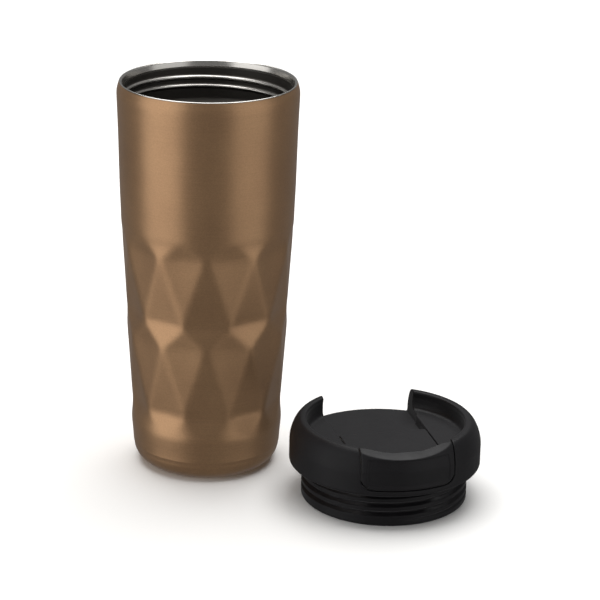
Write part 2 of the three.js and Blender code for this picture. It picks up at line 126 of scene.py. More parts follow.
class LidSizes(bpy.types.PropertyGroup):
    """Sizes of the lid, in its own frame."""

    radius: length("Lid radius", "Outer radius of the collar", 41.1)
    collar_bottom: length("Collar bottom", "Height of the collar's lower edge", 15.65)
    shoulder: length("Shoulder", "Height where the collar's shoulder starts", 25.0)
    lip_inner: length("Lip inner radius", "Inner edge of the top lip", 33.6)
    panel_lip: length("Panel lip radius", "Inner edge of the lip on the front panel", 34.7)
    skirt_radius: length("Skirt radius", "Inside of the collar's skirt", 39.3)
    shelf: length("Shelf", "Ledge over the gasket", 17)
    deck: length("Deck", "Floor of the lever channel", 22.2)
    platform: length("Platform", "Floor either side of the channel", 26.3)
    platform_radius: length("Platform radius", "Inside of the collar above the platform", 36.0)
    channel_half: length("Channel half width", "Half width of the lever channel", 19.6)
    notch_half: length("Notch half width", "Half width of the collar's openings", 20.4)
    notch_bottom: length("Notch bottom", "Lower edge of the front opening", 18.0)
    drink_wall_radius: length("Drink wall radius", "Radius of the wall behind the panel", 38.2)
    drink_wall_top: length("Drink wall top", "Height of the wall behind the panel", 23.3)
    corner: length("Panel corner", "Rounding of the panel's lower corners", 4.5)
    insert_radius: length("Insert radius", "Outer radius of the threaded insert", 35.7)
    groove_depth: length("Groove depth", "Depth of the thread groove", 1.7)
    lever_half: length("Lever half width", "Half width of the lever's plate", 19.2)
    plate_bottom: length("Plate bottom", "Underside of the lever's plate", 23.9)
    panel_half: length("Panel half width", "Half width of the front panel", 20.0)
    panel_radius: length("Panel radius", "Outer radius of the panel's face", 40.95)
    panel_inner: length("Panel inner radius", "Back of the panel's face", 38.6)
    panel_bottom: length("Panel bottom", "Lower edge of the front panel", 18.4)
    voxel: length("Mesh size", "Mesh size of the moulded pieces", 0.32)


class FinishColours(bpy.types.PropertyGroup):
    """Colours of the finishes, as sRGB hex values."""

    bronze: colour("Bronze lacquer", "Main tone of the body's lacquer", "#b8926d")
    bronze_dark: colour("Bronze shade", "Darker tone of the lacquer", "#a78261")
    # The polished tone is the buffed lip and a painted highlight on the thread's crests; the blasted tone is
    # a darker painted shade inside the cup and between the ridges.
    steel: colour("Polished steel", "Lip and neck", "#c9c6c1")
    blasted: colour("Blasted steel", "Inside of the cup and between the ridges", "#5a5753")
    brushed: colour("Brushed steel", "Base cover and pins", "#a9a8a5")
    plastic: colour("Black plastic", "Lid and lever", "#171618")
    silicone: colour("Silicone", "Gasket and plugs", "#262628")
    resin: colour("Sealing resin", "Plug of the vacuum space", "#c4b89c")
    sinter: colour("Sintered metal", "Getter pill", "#6d6862")
    floor: colour("Floor", "Paper that the object stands on", "#f4f3f1")


# ---- Mesh helpers --------------------------------------------------------------------------


def publish(name, vertices, faces, place=None):
    """Makes a mesh object, merges doubled points and shades it smooth with crisp corners."""
    mesh = bpy.data.meshes.new(name)
    mesh.from_pydata([tuple(v) for v in vertices], [], [tuple(f) for f in faces])
    made = bpy.data.objects.new(name, mesh)
    bpy.context.scene.collection.objects.link(made)
    if place is not None:
        mesh.transform(place)
    tidy(made)
    return made


def tidy(made):
    """Merges doubled points, faces the surface outwards and marks crisp corners."""
    work = bmesh.new()
    work.from_mesh(made.data)
    bmesh.ops.remove_doubles(work, verts=work.verts, dist=MERGE)
    bmesh.ops.dissolve_degenerate(work, edges=work.edges, dist=MERGE / 10)
    bmesh.ops.recalc_face_normals(work, faces=work.faces)
    work.to_mesh(made.data)
    work.free()
    made.data.shade_smooth()
    made.data.set_sharp_from_angle(angle=CRISP)
    made.data.update()


def skin(rows, closed):
    """Faces between rows of points that go round an axis; closed joins the last row to the first."""
    count, columns = rows.shape[:2]
    index = np.arange(count * columns).reshape(count, columns)
    lower = index if closed else index[:-1]
    upper = np.roll(index, -1, axis=0) if closed else index[1:]
    quads = [lower, np.roll(lower, -1, axis=1), np.roll(upper, -1, axis=1), upper]
    return rows.reshape(-1, 3), np.stack(quads, axis=-1).reshape(-1, 4)


def around(columns):
    """Angles of the columns, measured from the front (-Y) towards +X."""
    return np.arange(columns) * 2 * math.pi / columns


def ring_points(radius, height, angles):
    """Points at radius and height for each angle."""
    radius, height = np.broadcast_arrays(radius, height)
    radius, height = np.broadcast_to(radius, angles.shape), np.broadcast_to(height, angles.shape)
    return np.stack([radius * np.sin(angles), -radius * np.cos(angles), height], axis=-1)


def filleted(corners, closed, steps=4):
    """An outline of (radius, height, rounding) corners, in metres, with each corner rounded off."""
    points = []
    for i, (r, z, rounding) in enumerate(corners):
        here = Vector((r, z))
        if rounding == 0 or (not closed and i in (0, len(corners) - 1)):
            points.append(here)
            continue
        before = Vector(corners[i - 1][:2]) - here
        after = Vector(corners[(i + 1) % len(corners)][:2]) - here
        half = before.angle(after) / 2
        reach = min(rounding / math.tan(half), before.length * 0.48, after.length * 0.48)
        start, end = here + before.normalized() * reach, here + after.normalized() * reach
        for step in range(steps + 1):
            t = step / steps
            points.append((1 - t) ** 2 * start + 2 * t * (1 - t) * here + t ** 2 * end)
    return points


def turned(name, corners, closed=False, columns=192, place=None):
    """A turned piece. An open outline starts and ends on the axis; a closed one makes a ring."""
    scaled = [(r * MM, z * MM, rounding * MM) for r, z, rounding in corners]
    angles = around(columns)
    rows = np.array([ring_points(p[0], p[1], angles) for p in filleted(scaled, closed)])
    return publish(name, *skin(rows, closed), place)


def prism(name, outline, low, high, axis="Z"):
    """A closed prism on an outline of (x, y) points, or of (x, z) points when axis is Y."""
    count = len(outline)
    if axis == "Z":
        vertices = [(x, y, level) for level in (low, high) for x, y in outline]
    else:
        vertices = [(x, level, z) for level in (low, high) for x, z in outline]
    sides = [(i, (i + 1) % count, count + (i + 1) % count, count + i) for i in range(count)]
    return publish(name, vertices, [*sides, range(count), range(count, 2 * count)])


def slot_outline(half_length, radius, y, steps=24):
    """A slot with round ends, long in X."""
    points = []
    for side, start in ((1, -math.pi / 2), (-1, math.pi / 2)):
        for step in range(steps + 1):
            angle = start + math.pi * step / steps
            points.append((side * half_length + radius * math.cos(angle), y + radius * math.sin(angle)))
    return points


def panel_outline(half, bottom, top, corner, steps=10):
    """The front panel's outline in X and Z, with rounded lower corners."""
    points = [(half, top), (-half, top)]
    for side, start in ((-1, math.pi), (1, 1.5 * math.pi)):
        for step in range(steps + 1):
            angle = start + 0.5 * math.pi * step / steps
            x = side * (half - corner) + corner * math.cos(angle)
            points.append((x, bottom + corner + corner * math.sin(angle)))
    return points


def baked(made):
    """Applies the object's modifiers to its mesh."""
    graph = bpy.context.evaluated_depsgraph_get()
    mesh = bpy.data.meshes.new_from_object(made.evaluated_get(graph))
    made.modifiers.clear()
    old = made.data
    made.data = mesh
    bpy.data.meshes.remove(old)
    return made


def combine(made, *steps):
    """Joins, cuts or intersects the piece with tools, one after the other, and deletes the tools."""
    for operation, tool in steps:
        modifier = made.modifiers.new(operation, "BOOLEAN")
        modifier.operation = operation
        modifier.solver = "EXACT"
        modifier.object = tool
        baked(made)
        bpy.data.objects.remove(tool)
    if not made.data.polygons:
        raise RuntimeError(f"nothing is left of {made.name} after its cuts")
    return made


def moulded(made, voxel, passes):
    """Rounds every edge a little, as a moulded piece has it, on an even mesh."""
    remesh = made.modifiers.new("even", "REMESH")
    remesh.mode = "VOXEL"
    remesh.voxel_size = voxel
    remesh.use_smooth_shade = True
    soften = made.modifiers.new("soften", "SMOOTH")
    soften.factor = 0.5
    soften.iterations = passes
    baked(made)
    made.data.shade_smooth()
    return made


def finish_piece(made, material, body, slot, *nodes):
    """Gives the piece its material, hangs it on its body and hides the CAD parts that it stands for."""
    made.data.materials.clear()
    made.data.materials.append(material)
    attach(made, body)
    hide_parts(*nodes)
    return made


# ---- Materials -----------------------------------------------------------------------------


def linear(hex_value):
    """An sRGB hex colour as linear red, green, blue and alpha."""
    channels = [int(hex_value[i:i + 2], 16) / 255 for i in (1, 3, 5)]
    return (*[c / 12.92 if c <= 0.04045 else ((c + 0.055) / 1.055) ** 2.4 for c in channels], 1.0)


def add(tree, kind, settings=None, links=None):
    """Adds a node, sets its fields or inputs, and links outputs into its inputs."""
    node = tree.nodes.new(kind)
    for key, value in (settings or {}).items():
        if isinstance(key, str) and hasattr(node, key):
            setattr(node, key, value)
        else:
            node.inputs[key].default_value = value
    for key, source in (links or {}).items():
        tree.links.new(source, node.inputs[key])
    return node


def fresh(name):
    """A new empty material: its tree, the shader and the piece's own coordinates in metres."""
    material = bpy.data.materials.new(name)
    material.use_nodes = True
    tree = material.node_tree
    tree.nodes.clear()
    shader = add(tree, "ShaderNodeBsdfPrincipled")
    add(tree, "ShaderNodeOutputMaterial", links={"Surface": shader.outputs["BSDF"]})
    place = add(tree, "ShaderNodeTexCoord").outputs["Object"]
    return material, tree, shader, place


def stretched_noise(tree, place, across, along, detail=3.0):
    """Noise with features of the size along in X and Y, and across in Z, in metres."""
    scale = add(tree, "ShaderNodeMapping", {"Scale": (1 / along, 1 / along, 1 / across)}, {"Vector": place})
    return add(tree, "ShaderNodeTexNoise", {"Scale": 1.0, "Detail": detail, "Roughness": 0.6},
               {"Vector": scale.outputs["Vector"]}).outputs["Fac"]


def ranged(tree, value, low, high):
    """Maps 0.3 to 0.7, where noise mostly lies, onto low to high."""
    return add(tree, "ShaderNodeMapRange", {1: 0.3, 2: 0.7, 3: low, 4: high}, {0: value}).outputs["Result"]


def bumped(tree, shader, height, distance):
    """Feeds a height into the shader's normal as a bump of that distance in metres."""
    bump = add(tree, "ShaderNodeBump", {"Distance": distance, "Strength": 1.0}, {"Height": height})
    tree.links.new(bump.outputs["Normal"], shader.inputs["Normal"])


def bronze_lacquer_on_brushed_steel(colours):
    """Satin metallic lacquer: broad soft highlights, with the brushing's fine level lines under it."""
    material, tree, shader, place = fresh("bronze_lacquer_on_brushed_steel")
    lines = stretched_noise(tree, place, 0.25 * MM, 22 * MM, 4.0)
    cloud = stretched_noise(tree, place, 30 * MM, 24 * MM, 2.0)
    # Flakes of about 0.1 mm are drawn at 0.35 mm, as coarse as they need to show.
    flakes = add(tree, "ShaderNodeTexVoronoi", {"Scale": 1 / (0.35 * MM)}, {"Vector": place})
    glint = add(tree, "ShaderNodeSeparateColor", links={"Color": flakes.outputs["Color"]}).outputs["Red"]
    tones = add(tree, "ShaderNodeMix", {"data_type": "RGBA", 6: linear(colours.bronze_dark),
                                        7: linear(colours.bronze)}, {0: ranged(tree, cloud, 0.35, 0.9)})
    streaks = add(tree, "ShaderNodeMix", {"data_type": "RGBA", "blend_type": "MULTIPLY", 0: 0.22},
                  {6: tones.outputs[2], 7: lines})
    sparkle = add(tree, "ShaderNodeMapRange", {1: 0.0, 2: 1.0, 3: 0.94, 4: 1.08}, {0: glint})
    final = add(tree, "ShaderNodeVectorMath", {"operation": "SCALE"},
                {0: streaks.outputs[2], "Scale": sparkle.outputs["Result"]})
    tree.links.new(final.outputs["Vector"], shader.inputs["Base Color"])
    tree.links.new(ranged(tree, lines, 0.33, 0.41), shader.inputs["Roughness"])
    shader.inputs["Metallic"].default_value = 0.9
    shader.inputs["Coat Weight"].default_value = 0.12
    shader.inputs["Coat Roughness"].default_value = 0.35
    bumped(tree, shader, lines, 0.012 * MM)
    return material


# Buffing: the lip down to this depth, and the crests of the thread down to the neck's foot, where a painted
# highlight brightens the crests' colour.
LIP_DEPTHS = (3.6 * MM, 3.0 * MM)
CREST_HIGHLIGHT_RADII = (36.05 * MM, 35.6 * MM)
CREST_HIGHLIGHT_DEPTH = 15 * MM


def steel_with_painted_highlights_and_shade(colours):
    """Stainless steel, buffed bright at the lip and smooth on the thread crests, which carry a painted
    highlight; elsewhere satin, with a darker painted shade for the cup's inside and the thread's roots.
    """
    material, tree, shader, place = fresh("steel_with_painted_highlights_and_shade")
    height = add(tree, "ShaderNodeSeparateXYZ", links={0: place}).outputs["Z"]
    lip = add(tree, "ShaderNodeMapRange", {1: BODY_TOP - LIP_DEPTHS[0], 2: BODY_TOP - LIP_DEPTHS[1]},
              {0: height})
    flat = add(tree, "ShaderNodeVectorMath", {"operation": "MULTIPLY", 1: (1, 1, 0)}, {0: place})
    reach = add(tree, "ShaderNodeVectorMath", {"operation": "LENGTH"}, {0: flat.outputs["Vector"]})
    # The thread's inward crests take the bright tone as a painted highlight, as well as a smoother finish.
    ridge = add(tree, "ShaderNodeMapRange", {1: CREST_HIGHLIGHT_RADII[0], 2: CREST_HIGHLIGHT_RADII[1]},
                {0: reach.outputs["Value"]})
    above = add(tree, "ShaderNodeMath", {"operation": "GREATER_THAN", 1: BODY_TOP - CREST_HIGHLIGHT_DEPTH}, {0: height})
    crest_highlight = add(tree, "ShaderNodeMath", {"operation": "MULTIPLY"},
                {0: ridge.outputs["Result"], 1: above.outputs["Value"]})
    neck = add(tree, "ShaderNodeMath", {"operation": "MAXIMUM"},
               {0: lip.outputs["Result"], 1: crest_highlight.outputs["Value"]})
    lines = stretched_noise(tree, place, 0.2 * MM, 30 * MM, 3.0)
    grit = stretched_noise(tree, place, 0.6 * MM, 0.6 * MM, 2.0)
    # Outside the lip and crests the darker tone is painted shade, inside the cup and between the ridges.
    tones = add(tree, "ShaderNodeMix", {"data_type": "RGBA", 6: linear(colours.blasted),
                                        7: linear(colours.steel)}, {0: neck.outputs["Value"]})
    tree.links.new(tones.outputs[2], shader.inputs["Base Color"])
    buffed = ranged(tree, lines, 0.2, 0.28)
    satin = ranged(tree, grit, 0.42, 0.55)
    rough = add(tree, "ShaderNodeMix", {"data_type": "FLOAT"},
                {0: neck.outputs["Value"], 2: satin, 3: buffed})
    tree.links.new(rough.outputs[0], shader.inputs["Roughness"])
    shader.inputs["Metallic"].default_value = 1.0
    bumped(tree, shader, lines, 0.004 * MM)
    return material


def brushed_steel(colours):
    """Plain stainless sheet with a fine circular grain: soft grey, with streaked highlights."""
    material, tree, shader, place = fresh("brushed_steel")
    grain = stretched_noise(tree, place, 0.15 * MM, 0.15 * MM, 2.0)
    patches = stretched_noise(tree, place, 9 * MM, 9 * MM, 2.0)
    tones = add(tree, "ShaderNodeMix", {"data_type": "RGBA", 0: 0.18, 6: linear(colours.brushed)}, {7: grain})
    tree.links.new(tones.outputs[2], shader.inputs["Base Color"])
    tree.links.new(ranged(tree, patches, 0.3, 0.42), shader.inputs["Roughness"])
    shader.inputs["Metallic"].default_value = 1.0
    bumped(tree, shader, grain, 0.006 * MM)
    return material


def moulded_polypropylene(colours):
    """Black polypropylene from a finely sparked mould: satin, with a faint even grain."""
    material, tree, shader, place = fresh("moulded_polypropylene")
    # The spark texture is about 0.1 mm; it is drawn at 0.3 mm so that it shows.
    spark = stretched_noise(tree, place, 0.3 * MM, 0.3 * MM, 2.0)
    flow = stretched_noise(tree, place, 14 * MM, 14 * MM, 3.0)
    tones = add(tree, "ShaderNodeMix", {"data_type": "RGBA", "blend_type": "MULTIPLY", 0: 0.25,
                                        6: linear(colours.plastic)}, {7: spark})
    tree.links.new(tones.outputs[2], shader.inputs["Base Color"])
    tree.links.new(ranged(tree, flow, 0.4, 0.52), shader.inputs["Roughness"])
    shader.inputs["IOR"].default_value = 1.49
    shader.inputs["Specular IOR Level"].default_value = 0.18
    bumped(tree, shader, spark, 0.018 * MM)
    return material


def matt_silicone(colours):
    """Cast silicone rubber: soft and dull, with a little dust on it."""
    material, tree, shader, place = fresh("matt_silicone")
    dust = stretched_noise(tree, place, 0.5 * MM, 0.5 * MM, 4.0)
    tones = add(tree, "ShaderNodeMix", {"data_type": "RGBA", 6: linear(colours.silicone),
                                        7: linear("#4a4a4c")}, {0: ranged(tree, dust, 0.0, 0.25)})
    tree.links.new(tones.outputs[2], shader.inputs["Base Color"])
    tree.links.new(ranged(tree, dust, 0.6, 0.78), shader.inputs["Roughness"])
    shader.inputs["IOR"].default_value = 1.41
    bumped(tree, shader, dust, 0.02 * MM)
    return material


def hardened_resin(colours):
    """Sealing resin set in a drop: waxy and slightly clouded."""
    material, tree, shader, place = fresh("hardened_resin")
    cloud = stretched_noise(tree, place, 0.8 * MM, 0.8 * MM, 3.0)
    tones = add(tree, "ShaderNodeMix", {"data_type": "RGBA", 6: linear(colours.resin),
                                        7: linear("#8d7f62")}, {0: ranged(tree, cloud, 0.0, 0.6)})
    tree.links.new(tones.outputs[2], shader.inputs["Base Color"])
    tree.links.new(ranged(tree, cloud, 0.25, 0.4), shader.inputs["Roughness"])
    shader.inputs["IOR"].default_value = 1.54
    bumped(tree, shader, cloud, 0.03 * MM)
    return material


def sintered_metal(colours):
    """Pressed and sintered powder: dull grey and grainy."""
    material, tree, shader, place = fresh("sintered_metal")
    grains = stretched_noise(tree, place, 0.25 * MM, 0.25 * MM, 5.0)
    tones = add(tree, "ShaderNodeMix", {"data_type": "RGBA", 6: linear("#3d3a36"),
                                        7: linear(colours.sinter)}, {0: ranged(tree, grains, 0.1, 1.0)})
    tree.links.new(tones.outputs[2], shader.inputs["Base Color"])
    tree.links.new(ranged(tree, grains, 0.6, 0.8), shader.inputs["Roughness"])
    shader.inputs["Metallic"].default_value = 0.8
    bumped(tree, shader, grains, 0.06 * MM)
    return material


def studio_paper(colours):
    """Smooth white background paper: matt, with a very faint tooth."""
    material, tree, shader, place = fresh("studio_paper")
    tooth = stretched_noise(tree, place, 1.5 * MM, 1.5 * MM, 2.0)
    tones = add(tree, "ShaderNodeMix", {"data_type": "RGBA", 0: 0.02, 6: linear(colours.floor)}, {7: tooth})
    tree.links.new(tones.outputs[2], shader.inputs["Base Color"])
    shader.inputs["Roughness"].default_value = 0.9
    shader.inputs["Specular IOR Level"].default_value = 0.2
    return material


def shared(maker):
    """The material that a maker function makes, made once."""
    made = bpy.data.materials.get(maker.__name__)
    return made or maker(bpy.context.scene.tumbler_colours)


# ---- Tumbler body --------------------------------------------------------------------------

# Outer wall as (height, radius), in millimetres, above the rounded base edge.
WALL_LINE = [(8.5, 32.1), (20.3, 33.3), (125, 37.85), (150, 38.4), (166.5, 39.0), (168.2, 38.92), (170, 38.5),
             (171.2, 38.15), (171.55, 37.95)]

# Rings of facet corners as (height, shift in steps, how far they are sunk), in millimetres.
FACET_RINGS = [(20.3, 0, 0), (29.5, 0.5, 0.6), (62, 0, -0.62), (72, 0.5, 0.28), (102.8, 0, -0.74),
               (110.6, 0.5, -0.12)]

# Where the belt's last corners have run out into the round wall, in millimetres above them.
RUN_OUT = 9

# The wall line's bends are eased by this much, but not near the crisp turn under the lip.
EASING = 4 * MM
EASED_TO = 160 * MM
EASED_FADE = 10 * MM


def wall_radius(height):
    """Radius of the smooth wall at a height, both in metres."""
    heights, radii = np.array(WALL_LINE).T * MM
    return np.interp(height, heights, radii)


def inner_radius(height, sizes):
    """Radius of the drink side at a height, below the neck."""
    return wall_radius(height) - sizes.wall_depth


def facet_corners(ring, sizes):
    """One ring of facet corners as angles and radii, one more than go round."""
    height, shift, sink = ring
    step = 2 * math.pi / sizes.facet_count
    angles = sizes.facet_phase + (np.arange(sizes.facet_count + 2) + shift) * step
    return angles, np.full(angles.shape, wall_radius(height * MM) - sink * MM)


def flat_points(angles, radii):
    """Polar corners as plane points."""
    return np.stack([radii * np.sin(angles), -radii * np.cos(angles)], axis=-1)


def facet_outline(height, angles, sizes):
    """Radius of the faceted belt at one height, for each angle round it."""
    band = next(i for i in range(len(FACET_RINGS) - 1) if height <= FACET_RINGS[i + 1][0] * MM)
    lower, upper = FACET_RINGS[band], FACET_RINGS[band + 1]
    t = (height / MM - lower[0]) / (upper[0] - lower[0])
    count = sizes.facet_count
    low = flat_points(*facet_corners(lower, sizes))
    apex_first = 0 if upper[1] > lower[1] else 1
    high = flat_points(*facet_corners(upper, sizes))[apex_first:]
    left = (1 - t) * low[:count] + t * high[:count]
    right = (1 - t) * low[1:count + 1] + t * high[:count]
    points = np.stack([left, right], axis=1).reshape(-1, 2)
    starts = np.unwrap(np.arctan2(points[:, 0], -points[:, 1]))
    ends = np.append(starts[1:], starts[0] + 2 * math.pi)
    turn = (angles - starts[0]) % (2 * math.pi) + starts[0]
    side = np.clip(np.searchsorted(starts, turn, side="right") - 1, 0, len(starts) - 1)
    here, there = points[side], points[(side + 1) % len(points)]
    along = there - here
    ray = np.stack([np.sin(angles), -np.cos(angles)], axis=-1)
    crossed = ray[:, 0] * along[:, 1] - ray[:, 1] * along[:, 0]
    straight = (here[:, 0] * along[:, 1] - here[:, 1] * along[:, 0]) / np.where(crossed == 0, 1e-9, crossed)
    share = (turn - starts[side]) / np.maximum(ends[side] - starts[side], 1e-9)
    curved = np.hypot(*here.T) * (1 - share) + np.hypot(*there.T) * share
    is_arc = np.where(side % 2 == 0, band == 0, band == len(FACET_RINGS) - 2)
    return np.where(is_arc | (np.hypot(*along.T) < 1e-9), curved, straight)


def blurred(field, spread, axis):
    """Softens a field along an axis with a bell of that spread in cells, wrapping round when axis is 1."""
    reach = int(3 * spread) + 1
    weights = np.exp(-0.5 * (np.arange(-reach, reach + 1) / spread) ** 2)
    weights /= weights.sum()
    if axis == 1:
        return sum(w * np.roll(field, k, axis=1) for w, k in zip(weights, range(-reach, reach + 1)))
    padded = np.concatenate([field[:1].repeat(reach, 0), field, field[-1:].repeat(reach, 0)])
    return sum(w * padded[k:k + len(field)] for k, w in enumerate(weights))


def shell_rows(sizes, columns=528, step=0.5 * MM):
    """Rows of points up the outer wall, from the base flat to under the lip."""
    angles = around(columns)
    wall_top = WALL_LINE[-1][0] * MM
    heights = np.append(np.arange(sizes.base_edge + step, wall_top - step / 2, step), wall_top)
    plain = np.repeat(wall_radius(heights)[:, None], columns, axis=1)
    field = plain.copy()
    for i, height in enumerate(heights):
        if FACET_RINGS[0][0] * MM < height < FACET_RINGS[-1][0] * MM:
            field[i] = facet_outline(height, angles, sizes)
    depth = sizes.facet_hollow * (plain - field)
    # Above the belt the last ring's corners run out into the round wall.
    above = np.clip((heights / MM - FACET_RINGS[-1][0]) / RUN_OUT, 0, 1)[:, None]
    depth = np.where(above > 0, FACET_RINGS[-1][2] * MM * (1 - above) ** 2, depth)
    cell = 2 * math.pi * plain.mean() / columns
    depth = blurred(blurred(depth, sizes.facet_softness / cell, 1), sizes.facet_softness / step, 0)
    eased = np.clip((EASED_TO - heights[:, None]) / EASED_FADE, 0, 1)
    smooth = eased * blurred(plain, EASING / step, 0) + (1 - eased) * plain
    rows = [ring_points(r, z, angles) for r, z in zip(smooth - depth, heights)]
    foot = []
    for part in np.linspace(0, math.pi / 2, 14):
        radius = sizes.base_flat + sizes.base_edge * math.sin(part)
        foot.append(ring_points(radius, sizes.base_edge * (1 - math.cos(part)), angles))
    return np.array([*foot, *rows])


class TUMBLER_OT_outer_wall(bpy.types.Operator):
    """Press the outer wall with its faceted belt and rounded base edge"""

    bl_idname = "tumbler.outer_wall"
    bl_label = "Outer Wall"

    def execute(self, context):
        sizes = context.scene.tumbler_sizes
        outside = shell_rows(sizes)
        angles = around(outside.shape[1])
        radius = np.hypot(outside[..., 0], outside[..., 1])
        inside = outside * ((radius - sizes.sheet) / radius)[..., None]
        inside[..., 2] = np.maximum(outside[..., 2], sizes.sheet)
        # The inside is never seen, so it keeps only every eighth row.
        inside = inside[::-8]
        inner_foot = sizes.cover_radius + 0.3 * MM
        foot = [ring_points(inner_foot, z, angles) for z in (sizes.sheet, 0.15 * MM)]
        foot.append(ring_points(inner_foot + 0.15 * MM, 0.0, angles))
        edge = [outside[-1] + (inside[0] - outside[-1]) * part for part in (0.15, 0.85)]
        rows = np.array([*outside, *edge, *inside, *foot])
        wall = publish("outer_wall", *skin(rows, closed=True))
        lacquer = shared(bronze_lacquer_on_brushed_steel)
        finish_piece(wall, lacquer, "tumbler", "bronze_paint", "outer_shell")
        return {"FINISHED"}


# The thread in the neck: where it starts and ends round the axis, how it fades out, and its ridge.
NECK_THREAD_ENDS = (math.radians(-290), math.radians(300))
NECK_THREAD_FADE = math.radians(35)
NECK_THREAD_LEVEL = BODY_TOP - 7.65 * MM
RIDGE_HALF = 1.2 * MM
NECK_DEPTH = 17 * MM
NECK_BLEND = 4 * MM


def thread_height(angle, turns, pitch, level):
    """Height of a right-hand thread's middle after that many whole turns, level being at the back."""
    return level + pitch * ((angle - math.pi) / (2 * math.pi) + turns)


def neck_radius(height, angles, sizes):
    """Radius of the neck at a height, with the rolled ridge of the thread standing inwards."""
    first, last = NECK_THREAD_ENDS
    rise = np.zeros_like(angles)
    for turns in (-2, -1, 0, 1):
        total = angles + turns * 2 * math.pi
        taper = np.clip(np.minimum(total - first, last - total) / NECK_THREAD_FADE, 0, 1)
        away = np.abs(height - thread_height(angles, turns, sizes.thread_pitch, NECK_THREAD_LEVEL))
        bell = np.where(away < RIDGE_HALF, 0.5 + 0.5 * np.cos(math.pi * away / RIDGE_HALF), 0) ** 0.8
        rise = np.maximum(rise, bell * taper * sizes.thread_rise)
    return sizes.mouth_radius - rise


class TUMBLER_OT_lining(bpy.types.Operator):
    """Form the lining: the rolled lip, the threaded neck, the cup's wall and its floor"""

    bl_idname = "tumbler.lining"
    bl_label = "Lining"

    def execute(self, context):
        sizes = context.scene.tumbler_sizes
        low_split, floor_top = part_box("lining_tube")[0][2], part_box("lining_bottom")[1][2]
        angles = around(288)
        neck_foot = BODY_TOP - NECK_DEPTH
        below = [(inner_radius(z, sizes), z) for z in np.linspace(low_split, neck_foot - NECK_BLEND, 12)]
        rows = [ring_points(r, z, angles) for r, z in below]
        for t in np.linspace(0, 1, 7)[1:]:
            ease = t * t * (3 - 2 * t)
            radius = below[-1][0] * (1 - ease) + sizes.mouth_radius * ease
            rows.append(ring_points(radius, neck_foot - NECK_BLEND + NECK_BLEND * t, angles))
        for z in np.arange(neck_foot + 0.4 * MM, BODY_TOP - 3.4 * MM, 0.2 * MM):
            rows.append(ring_points(neck_radius(z, angles, sizes), z, angles))
        mouth, lip, top = sizes.mouth_radius / MM, sizes.lip_radius / MM, BODY_TOP / MM
        sheet = sizes.sheet / MM
        rim = [
            (mouth, top - 3.4, 0), (mouth, top - 2.7, 0.8), (lip - 1.5, top - 0.6, 0.6),
            (lip - 0.8, top + 0.05, 0.6), (lip - 0.35, top - 0.1, 0.25), (lip - 0.3, top - 0.4, 0.1),
            (lip - 1.1, top - 0.4, 0.2), (mouth + sheet, top - 3.6, 0.4), (mouth + sheet, top - 4.4, 0),
        ]
        scaled = [(r * MM, z * MM, f * MM) for r, z, f in rim]
        rows += [ring_points(p[0], p[1], angles) for p in filleted(scaled, closed=False, steps=6)]
        rows.append(ring_points((mouth + sheet) * MM, neck_foot, angles))
        rows += [ring_points(r + sizes.sheet, z, angles) for r, z in reversed(below)]
        tube = publish("lining_tube_piece", *skin(np.array(rows), closed=True))
        steel = shared(steel_with_painted_highlights_and_shade)
        finish_piece(tube, steel, "tumbler", "polished_steel", "lining_tube")

        side, level = inner_radius(floor_top, sizes) / MM, floor_top / MM
        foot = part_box("lining_bottom")[0][2] / MM
        bottom = turned("lining_bottom_piece", [
            (0, foot, 0), (side + sheet, foot, 7.6), (side + sheet, level, 0.2), (side, level, 0.2),
            (side, foot + sheet, 7.0), (0, foot + sheet, 0),
        ])
        finish_piece(bottom, steel, "tumbler", "polished_steel", "lining_bottom")
        return {"FINISHED"}


class TUMBLER_OT_base(bpy.types.Operator):
    """Turn the inner base, its seal, the getter and the base cover"""

    bl_idname = "tumbler.base"
    bl_label = "Base and Seal"

    def execute(self, context):
        sizes = context.scene.tumbler_sizes
        steel = shared(brushed_steel)
        cover, sheet = sizes.cover_radius / MM, sizes.sheet / MM
        top = COVER_TOP / MM
        plate = turned("base_cover_piece", [
            (0, 0, 0), (cover, 0, 0.5), (cover, top, 0.15), (cover - sheet, top, 0.15),
            (cover - sheet, 0.8, 0.3), (0, 0.8, 0),
        ])
        finish_piece(plate, steel, "tumbler", "plain_steel", "base_cover")

        foot, rim = INNER_BASE_FOOT / MM, INNER_BASE_TOP / MM
        hole, outer = 1.6, 29.6
        base = turned("inner_base_piece", [
            (hole, foot, 0.2), (outer - 0.3, foot, 1.2), (outer + 0.8, rim, 0.1), (outer + 0.2, rim, 0.1),
            (outer - 0.9, foot + sheet, 0.8), (hole, foot + sheet, 0.2),
        ], closed=True)
        finish_piece(base, steel, "tumbler", "plain_steel", "inner_base")

        stem = hole - 0.3
        seal = turned("seal_plug_piece", [
            (0, foot - 1.4, 0), (2.6, foot - 1.3, 0.8), (3.2, foot - 0.3, 0.2), (stem, foot - 0.3, 0.1),
            (stem, foot + sheet + 0.5, 0.3), (0, foot + sheet + 0.7, 0),
        ], columns=64)
        finish_piece(seal, shared(hardened_resin), "tumbler", "resin", "seal_plug")

        place = Matrix.Translation((GETTER_CENTRE[0], GETTER_CENTRE[1], 0))
        low, high = (z / MM for z in (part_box("getter_pill")[0][2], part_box("getter_pill")[1][2]))
        pill = turned("getter_pill_piece", [
            (0, low, 0), (4, low, 0.3), (4, high, 0.3), (0, high, 0),
        ], columns=64, place=place)
        finish_piece(pill, shared(sintered_metal), "tumbler", "getter_metal", "getter_pill")
        low, high = (z / MM for z in (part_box("getter_tray")[0][2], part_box("getter_tray")[1][2]))
        tray = turned("getter_tray_piece", [
            (0, low, 0), (4.9, low, 0.5), (4.9, high, 0.1), (4.3, high, 0.1), (4.3, low + sheet, 0.2),
            (0, low + sheet, 0),
        ], columns=64, place=place)
        finish_piece(tray, steel, "tumbler", "plain_steel", "getter_tray")
        return {"FINISHED"}


# ---- Lid -----------------------------------------------------------------------------------


SHOULDER_END = 36 * MM  # radius where the shoulder's curve meets the level top
SHOULDER_FULLNESS = 0.8  # below 1 the curve leaves the side sooner than an ellipse


